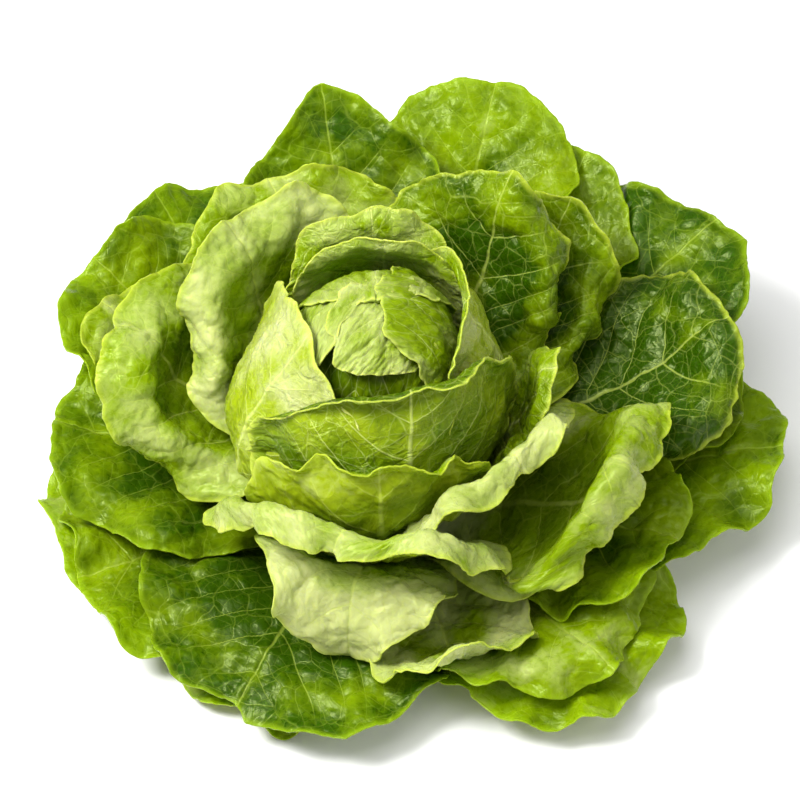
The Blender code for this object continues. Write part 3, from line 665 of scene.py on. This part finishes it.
leafGreens = {  # upper face and under face: dark, fresh and pale, between which a leaf's tone chooses
    "upper": ((0.019, 0.053, 0.0003), (0.165, 0.25, 0.0005), (0.43, 0.475, 0.17)),
    "under": ((0.075, 0.14, 0.001), (0.255, 0.335, 0.006), (0.49, 0.52, 0.24)),
}
# edge is a painted glow along the margin, standing in for light shining through it
leafFinish = {  # margin is how much paler the margin is than the middle of the blade: partly the leaf's own yellower margin, partly painted shade on the cupped middle
    "outer": {
        "edge": (0.22, 0.33, 0.006), "vein": (0.34, 0.43, 0.05), "veins": 0.36, "margin": 0.16,
        "roughness": 0.29, "gloss": 0.2, "crinkle": 3.5, "bump": 0.5,
    },
    "middle": {
        "edge": (0.4, 0.48, 0.04), "vein": (0.46, 0.54, 0.1), "veins": 0.45, "margin": 0.3,
        "roughness": 0.28, "gloss": 0.22, "crinkle": 5.5, "bump": 0.5,
    },
    "wrapper": {
        "edge": (0.5, 0.58, 0.08), "vein": (0.54, 0.61, 0.18), "veins": 0.5, "margin": 0.12,
        "roughness": 0.31, "gloss": 0.25, "crinkle": 11.0, "bump": 0.8,
    },
    "heart": {
        "edge": (0.5, 0.58, 0.1), "vein": (0.54, 0.61, 0.2), "veins": 0.35, "margin": 0.1,
        "roughness": 0.36, "gloss": 0.22, "crinkle": 9.0, "bump": 0.45,
    },
}
veinLines = {  # where each kind of line fades out, and how strong it is beside the midrib
    "rib": (0.25, 1.0), "lateral": (0.006, 0.03), "coarse": (0.0, 0.032), "fine": (0.0, 0.06),
    "lateralShare": 0.9, "coarseShare": 0.45, "fineShare": 0.26,
}
leafPattern = {
    "mottleScale": 0.5, "mottle": 1.2, "speckleScale": 5.0, "speckle": 0.25,
    "besideRib": (1.0, 7.0), "paleRib": 0.12, "paintedGlowBand": (0.95, 1.0), "rim": 0.6, "root": (0.66, 0.72, 0.4),
    "roughnessSpread": 0.15,
}
fineRelief = {
    "cellEdge": 0.35, "cells": 0.3, "speckle": 0.8, "lines": 0.8,
    "foldScale": 1.7, "foldDistortion": 0.7, "depth": 0.0003,
}
glossTint = (0.85, 1.0, 0.4)
translucency = {"weight": 0.4, "radius": (0.8, 1.0, 0.1), "scale": 0.003}


def stepNode(tree, value, low, high):
    node = addNode(
        tree, "ShaderNodeMapRange", {"Value": value, "From Min": low, "From Max": high},
        interpolation_type="SMOOTHSTEP",
    )
    return node.outputs[0]


def lineNode(tree, value, low, high):  # 1 up to low, and fading to 0 at high
    return mathNode(tree, "SUBTRACT", 1.0, stepNode(tree, value, low, high))


def mixNode(tree, factor, first, second):
    node = tree.nodes.new("ShaderNodeMix")
    node.data_type = "RGBA"
    for index, value in ((0, factor), (6, first), (7, second)):
        if isinstance(value, bpy.types.NodeSocket):
            tree.links.new(value, node.inputs[index])
        elif index == 0:
            node.inputs[index].default_value = value
        else:
            node.inputs[index].default_value = (*value, 1.0)
    return node.outputs[2]


def newMaterial(name):
    material = bpy.data.materials.new(name)
    material.use_nodes = True
    return material, material.node_tree, material.node_tree.nodes["Principled BSDF"]


def letLightIn(shader):
    shader.inputs["Subsurface Weight"].default_value = translucency["weight"]
    shader.inputs["Subsurface Radius"].default_value = translucency["radius"]
    shader.inputs["Subsurface Scale"].default_value = translucency["scale"]


def leafMaterial(name, finish, under):
    material, tree, shader = newMaterial(name)
    place = addNode(tree, "ShaderNodeAttribute", attribute_name="netPlace").outputs["Vector"]
    veins = addNode(tree, "ShaderNodeAttribute", attribute_name="veins").outputs["Vector"]
    shade = addNode(tree, "ShaderNodeAttribute", attribute_name="shade").outputs["Vector"]
    rib, phase, strength = addNode(tree, "ShaderNodeSeparateXYZ", {0: veins}).outputs
    tone, margin, root = addNode(tree, "ShaderNodeSeparateXYZ", {0: shade}).outputs
    coarse, fine = netNodes(tree, place)
    mottle = mathNode(tree, "SUBTRACT", noiseNode(tree, place, leafPattern["mottleScale"], 4.0), 0.5)
    speckle = noiseNode(tree, place, leafPattern["speckleScale"], 3.0)
    centredSpeckle = mathNode(tree, "SUBTRACT", speckle, 0.5)

    # Vein lines
    offRib = mathNode(tree, "ABSOLUTE", rib)
    across = mathNode(tree, "ABSOLUTE", mathNode(tree, "SUBTRACT", mathNode(tree, "FRACT", phase), 0.5))
    lateral = mathNode(tree, "MULTIPLY", lineNode(tree, across, *veinLines["lateral"]), strength)
    lines = lineNode(tree, offRib, *veinLines["rib"])
    for line, share in (
        (lateral, veinLines["lateralShare"]),
        (lineNode(tree, coarse, *veinLines["coarse"]), veinLines["coarseShare"]),
        (lineNode(tree, fine, *veinLines["fine"]), veinLines["fineShare"]),
    ):
        lines = mathNode(tree, "MAXIMUM", lines, mathNode(tree, "MULTIPLY", line, share))

    # Colour
    blotch = mathNode(tree, "MULTIPLY_ADD", mottle, leafPattern["mottle"], tone)
    blotch = mathNode(tree, "MULTIPLY_ADD", centredSpeckle, leafPattern["speckle"], blotch)
    besideRib = lineNode(tree, offRib, *leafPattern["besideRib"])
    blotch = mathNode(tree, "MULTIPLY_ADD", besideRib, leafPattern["paleRib"], blotch)
    dark, fresh, pale = leafGreens["under" if under else "upper"]
    colour = mixNode(tree, mathNode(tree, "MULTIPLY", blotch, 2.0), dark, fresh)
    colour = mixNode(tree, mathNode(tree, "MULTIPLY_ADD", blotch, 2.0, -1.0), colour, pale)
    # Painted glow: a thin yellow-green line along the margin, standing in for light shining through it
    rim = mathNode(tree, "MULTIPLY", stepNode(tree, margin, *leafPattern["paintedGlowBand"]), leafPattern["rim"])
    colour = mixNode(tree, rim, colour, finish["edge"])
    colour = mixNode(tree, mathNode(tree, "MULTIPLY", lines, finish["veins"]), colour, finish["vein"])
    colour = mixNode(tree, root, colour, leafPattern["root"])
    tree.links.new(colour, shader.inputs["Base Color"])

    # Gloss and fine relief
    spread = leafPattern["roughnessSpread"]
    rough = mathNode(tree, "MULTIPLY_ADD", centredSpeckle, spread, finish["roughness"])
    tree.links.new(rough, shader.inputs["Roughness"])
    cells = stepNode(tree, fine, 0.0, fineRelief["cellEdge"])
    puff = mathNode(tree, "MULTIPLY", speckle, fineRelief["speckle"])
    puff = mathNode(tree, "MULTIPLY_ADD", cells, fineRelief["cells"], puff)
    puff = mathNode(tree, "SUBTRACT", puff, mathNode(tree, "MULTIPLY", lines, fineRelief["lines"]))
    fold = noiseNode(tree, place, fineRelief["foldScale"], 3.0, fineRelief["foldDistortion"])
    fold = mathNode(tree, "ABSOLUTE", mathNode(tree, "SUBTRACT", fold, 0.5))
    puff = mathNode(tree, "MULTIPLY_ADD", fold, finish["crinkle"], puff)
    if under:
        puff = mathNode(tree, "MULTIPLY", puff, -1.0)
    depth = {"Height": puff, "Strength": finish["bump"], "Distance": fineRelief["depth"]}
    tree.links.new(addNode(tree, "ShaderNodeBump", depth).outputs[0], shader.inputs["Normal"])
    letLightIn(shader)
    shader.inputs["Specular IOR Level"].default_value = finish["gloss"]
    shader.inputs["Specular Tint"].default_value = (*glossTint, 1.0)
    return material


finishes = {}
for kind, finish in leafFinish.items():
    finishes[kind] = (leafMaterial(kind + "Upper", finish, False), leafMaterial(kind + "Under", finish, True))
print("materials made")


toneSpread = {"root": 0.1, "marginFrom": 0.42, "marginLevel": 0.6, "tipLevel": 0.3, "whiteRoot": 0.85}


def dressLeaf(name, kind, shape, node):
    veins = np.stack([shape.rib, shape.phaseOfLateral, shape.lateralStrength], axis=-1)
    nearRoot = (1 - smoothStep(shape.share * 3.2)) ** 1.5 * toneSpread["whiteRoot"]
    # Paler towards the margin and darker in the middle: partly the leaf's own colour, partly painted shade on
    # the cupped middle of the blade
    margin = smoothStep((shape.q - toneSpread["marginFrom"]) * 3.6) - toneSpread["marginLevel"]
    tip = smoothStep(shape.share * 1.6 - 0.6) - toneSpread["tipLevel"]
    tone = shape.leaf["tone"] + leafFinish[kind]["margin"] * margin + shape.leaf["tip"] * tip
    tone = tone + toneSpread["root"] * (1 - shape.share) ** 2
    shade = np.stack([tone, shape.q, nearRoot], axis=-1)
    flesh = (2 * halfThickness(shape) - bladeShape["blade"]) / (bladeShape["rib"] - bladeShape["blade"])
    piece = gridMesh(name, shape.points, {"netPlace": netPlace(shape), "veins": veins, "shade": shade}, flesh)
    for material in finishes[kind]:
        piece.data.materials.append(material)
    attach(piece, "root")
    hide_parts(node)


# Leaves

allLeaves = []
for kind, table in (("wrapper", wrapperLeaves), ("middle", middleLeaves), ("outer", outerLeaves)):
    allLeaves += [(kind, number + 1, leaf) for number, leaf in enumerate(table)]
rises = rootRises([leaf for _, _, leaf in allLeaves])
walls = []
fineLeaves = []
for index, (kind, _, leaf) in enumerate(allLeaves):
    cells = packing["rolledCells"] if kind == "middle" else packing["plainCells"]
    triangles = gridTriangles(cells)
    cage = LeafShape(leaf, rises[index], index, cells)
    before = cage.points.copy()
    bendClear(cage, walls, triangles)
    walls.append(Wall(cage, triangles))
    fineCells = -(-fineShape["cells"] // cells) * cells
    fine = LeafShape(leaf, rises[index], index, fineCells)
    weights = splineWeights(cells, fineCells)
    moved = np.einsum("ai,ijk,bj->abk", weights, cage.points - before, weights)
    fine.points = soften(fine.points + moved, fineShape["pointPasses"])
    fine.netShift = np.array([31.0 * index, 17.0 * (index % 7), 0.0])
    markVeins(fine)
    fineLeaves.append(fine)
print("leaves bent clear of one another")

sampled = sampleNet(fineLeaves)
start = 0
for (kind, number, _), shape in zip(allLeaves, fineLeaves):
    count = shape.q.size
    addRelief(shape, relief[kind], sampled[start : start + count])
    start += count
    dressLeaf(f"{kind}Leaf_{number:02d}", kind, shape, f"{kind}_leaf_{number:02d}")
print("leaves drawn with their veins and blisters")


# Heart

heartLeaves = {  # direction and climb of the middle, half widths, way of the free margin, level, lift, tone
    "heartLeaf_1": (-105, 46, 58, 50, 90, 0.6, 0.4, 0.24),
    "heartLeaf_2": (90, 46, 56, 44, 90, 0.8, 2.0, 0.54),
    "heartLeaf_3": (8, 44, 50, 44, 90, 1.2, 2.2, 0.5),
    "heartLeaf_4": (160, 45, 46, 38, 20, 1.6, 2.6, 0.66),
    "heartLeaf_5": (-50, 76, 36, 34, 160, 2.4, 3.0, 0.7),
}
heartFolds = {
    "across": 1.5, "along": 0.6,     # how close the folds lie, across a leaf and along it
    "larger": 2.2, "under": 3.0,     # millimetres of the leaves outside the ball, and of the core inside
    "tucked": 2.0, "lipFrom": 0.55, "lip": 3.9,
}


class HeartShape:  # one folded leaf of the ball, a crumpled patch whose free margin stands out of it
    def __init__(self, values, seed, cells):
        turn, climb, wide, tall, free, level, lift, tone = values
        self.leaf = {"tone": tone, "tip": 0.0}
        self.cells = cells
        self.phase = np.random.default_rng(seed).uniform(0.0, 2 * math.pi, 6)
        self.q, self.angle = discOfGrid(cells)
        outline = 1 + 0.06 * np.sin(2 * self.angle + self.phase[0])
        outline += 0.04 * np.sin(5 * self.angle + self.phase[1])
        radius = self.q * outline
        facing = radius * np.cos(self.angle - math.radians(free))
        rise = smoothStep(0.55 + 0.6 * facing)
        spin, tilt = math.radians(turn), math.radians(climb)
        centre = np.array([math.cos(tilt) * math.cos(spin), math.cos(tilt) * math.sin(spin), math.sin(tilt)])
        side = np.array([-math.sin(spin), math.cos(spin), 0.0])
        up = np.cross(centre, side)
        x = np.radians(wide) * radius * np.cos(self.angle)
        y = np.radians(tall) * radius * np.sin(self.angle)
        way = centre + np.tan(x)[..., None] * side + np.tan(y)[..., None] * up
        way /= np.linalg.norm(way, axis=-1, keepdims=True)
        height = (level + lift + heartFolds["tucked"]) * rise - heartFolds["tucked"]
        height += heartFolds["lip"] * np.clip(facing - heartFolds["lipFrom"], 0.0, 1.0)
        self.points = way * (ballSize + heartFolds["larger"] + height[..., None]) + heartCentre()
        self.points = self.points[:, ::-1]
        self.q, self.angle = self.q[:, ::-1], self.angle[:, ::-1]
        ahead = (radius * np.cos(self.angle - math.radians(free)))[:, ::-1]
        across = (radius * np.sin(self.angle - math.radians(free)))[:, ::-1]
        self.flatX = across * heartShape["radius"] * heartFolds["across"]
        self.flatY = (ahead + 1.1) * heartShape["radius"] * heartFolds["along"]
        self.length = self.flatY.max()
        self.share = np.clip(0.3 + 0.7 * self.flatY / self.length, 0.0, 1.0)


fineHearts = []
for index, values in enumerate(heartLeaves.values()):
    shape = HeartShape(values, 50 + index, fineShape["cells"])
    shape.netShift = np.array([31.0 * index, 150.0, 0.0])
    markVeins(shape)
    shape.rib = shape.rib * 3
    fineHearts.append(shape)
sampled = sampleNet(fineHearts)
for index, (name, shape) in enumerate(zip(heartLeaves, fineHearts)):
    count = shape.q.size
    addRelief(shape, relief["heart"], sampled[index * count : (index + 1) * count])
    dressLeaf(name, "heart", shape, "heart")

core = bmesh.new()
bmesh.ops.create_uvsphere(core, u_segments=48, v_segments=24, radius=1.0)
bmesh.ops.scale(core, vec=(ballSize - heartFolds["under"]) * mm, verts=core.verts)
bmesh.ops.translate(core, vec=heartCentre() * mm, verts=core.verts)
heartCore = makePiece("heartCore", core)
coreLook = {"dark": (0.16, 0.32, 0.02), "light": (0.42, 0.56, 0.1), "patches": 60.0, "roughness": 0.5}


def coreMaterial():  # seen only in the gaps between the folded leaves
    material, tree, shader = newMaterial("heartFlesh")
    place = addNode(tree, "ShaderNodeTexCoord").outputs["Object"]
    noise = noiseNode(tree, place, coreLook["patches"], 4.0)
    tree.links.new(mixNode(tree, noise, coreLook["dark"], coreLook["light"]), shader.inputs["Base Color"])
    bump = addNode(tree, "ShaderNodeBump", {"Height": noise, "Strength": 0.4, "Distance": 0.0008})
    tree.links.new(bump.outputs[0], shader.inputs["Normal"])
    shader.inputs["Roughness"].default_value = coreLook["roughness"]
    letLightIn(shader)
    return material


heartCore.data.materials.append(coreMaterial())
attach(heartCore, "root")
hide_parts("heart")
print("heart folded")


# Stem

stemLook = {
    "sides": 64, "cream": (0.68, 0.66, 0.38), "green": (0.42, 0.5, 0.2), "tan": (0.4, 0.27, 0.12),
    "ringInside": (0.008, 0.0105), "ringOutside": (0.0115, 0.0135), "ring": 0.55, "wobble": 0.003,
    "faceBelow": (0.0004, 0.0012), "stains": (0.5, 0.75), "stain": 0.5, "grain": 260.0, "roughness": 0.62,
}


def makeStem():
    profile = bmesh.new()
    heights = np.linspace(stemShape["height"], 1.0, 15)
    corners = [(0.0, stemShape["height"] + 1.4), (0.6 * stemShape["topRadius"], stemShape["height"] + 0.9)]
    corners += [(float(stemRadius(height)), float(height)) for height in heights]
    corners += [(stemShape["cutRadius"] - 0.2, 0.35), (stemShape["cutRadius"] - 0.9, 0.0)]
    corners += [(0.75 * stemShape["cutRadius"], 0.0), (0.5 * stemShape["cutRadius"], 0.12), (0.0, 0.12)]
    verts = [profile.verts.new((radius * mm, 0.0, height * mm)) for radius, height in corners]
    edges = [profile.edges.new(pair) for pair in zip(verts, verts[1:])]
    bmesh.ops.spin(
        profile, geom=verts + edges, cent=(0, 0, 0), axis=(0, 0, 1), angle=2 * math.pi,
        steps=stemLook["sides"], use_merge=True,
    )
    bmesh.ops.remove_doubles(profile, verts=profile.verts[:], dist=0.00001)
    bmesh.ops.recalc_face_normals(profile, faces=profile.faces[:])
    return makePiece("stemStump", profile)


def stemMaterial():  # a cream cut face with a browned ring, and greener sides
    material, tree, shader = newMaterial("stemFlesh")
    place = addNode(tree, "ShaderNodeTexCoord").outputs["Object"]
    x, y, z = addNode(tree, "ShaderNodeSeparateXYZ", {0: place}).outputs
    flat = addNode(tree, "ShaderNodeCombineXYZ", {"X": x, "Y": y}).outputs[0]
    radius = addNode(tree, "ShaderNodeVectorMath", {0: flat}, operation="LENGTH").outputs["Value"]
    noise = noiseNode(tree, place, stemLook["grain"], 5.0)
    wobble = mathNode(tree, "MULTIPLY_ADD", noise, stemLook["wobble"], radius)
    inside = stepNode(tree, wobble, *stemLook["ringInside"])
    ring = mathNode(tree, "MULTIPLY", inside, lineNode(tree, wobble, *stemLook["ringOutside"]))
    ring = mathNode(tree, "MULTIPLY", ring, stemLook["ring"])
    cutFace = lineNode(tree, z, *stemLook["faceBelow"])
    stain = mathNode(tree, "MULTIPLY", stepNode(tree, noise, *stemLook["stains"]), stemLook["stain"])
    face = mixNode(tree, ring, stemLook["cream"], stemLook["tan"])
    face = mixNode(tree, stain, face, stemLook["tan"])
    sideColour = mixNode(tree, noise, stemLook["green"], stemLook["cream"])
    tree.links.new(mixNode(tree, cutFace, sideColour, face), shader.inputs["Base Color"])
    bump = addNode(tree, "ShaderNodeBump", {"Height": noise, "Strength": 0.4, "Distance": 0.0006})
    tree.links.new(bump.outputs[0], shader.inputs["Normal"])
    shader.inputs["Roughness"].default_value = stemLook["roughness"]
    return material


stump = makeStem()
stump.data.materials.append(stemMaterial())
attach(stump, "root")
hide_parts("stem")
print("stem cut")


# Floor, light and camera

studio = {
    "floor": 3.0, "floorColour": (0.94, 0.94, 0.94), "world": 0.3,
    "key": {"place": (-0.6, -0.12, 1.0), "size": 0.4, "power": 18.8},
    "sky": {"place": (-0.2, -0.05, 1.5), "size": 1.2, "power": 15.0},
    "fill": {"place": (0.9, -0.6, 0.8), "size": 0.9, "power": 4.6},
    "elevation": 52.0, "distance": 1.8, "frameWidth": 0.302, "aimRight": 0.00566, "aimUp": 0.04077,
}


def makeFloor():
    surface = bmesh.new()
    bmesh.ops.create_grid(surface, x_segments=2, y_segments=2, size=studio["floor"])
    floor = makePiece("floor", surface)
    material, _, shader = newMaterial("paleFloor")
    shader.inputs["Base Color"].default_value = (*studio["floorColour"], 1.0)
    shader.inputs["Roughness"].default_value = 0.8
    floor.data.materials.append(material)


def addLight(name, values):
    light = bpy.data.lights.new(name, "AREA")
    light.size = values["size"]
    light.energy = values["power"]
    lamp = bpy.data.objects.new(name, light)
    lamp.location = values["place"]
    lamp.rotation_euler = (Vector((0.0, 0.0, 0.05)) - lamp.location).to_track_quat("-Z", "Y").to_euler()
    bpy.context.scene.collection.objects.link(lamp)


makeFloor()
addLight("key", studio["key"])
addLight("sky", studio["sky"])
addLight("fill", studio["fill"])
world = bpy.data.worlds.new("studio")
world.use_nodes = True
world.node_tree.nodes["Background"].inputs["Color"].default_value = (1.0, 1.0, 1.0, 1.0)
world.node_tree.nodes["Background"].inputs["Strength"].default_value = studio["world"]
bpy.context.scene.world = world
bpy.context.scene.view_settings.view_transform = "Standard"

lens = bpy.data.cameras.new("camera")
lens.lens = lens.sensor_width * studio["distance"] / studio["frameWidth"]
camera = bpy.data.objects.new("camera", lens)
tilt = math.radians(studio["elevation"])
view = Vector((0.0, math.cos(tilt), -math.sin(tilt)))
upward = Vector((0.0, math.sin(tilt), math.cos(tilt)))
aim = Vector((studio["aimRight"], 0.0, 0.0)) + upward * studio["aimUp"]
camera.location = aim - view * studio["distance"]
camera.rotation_euler = (math.pi / 2 - tilt, 0.0, 0.0)
bpy.context.scene.collection.objects.link(camera)
bpy.context.scene.camera = camera
print("studio set")
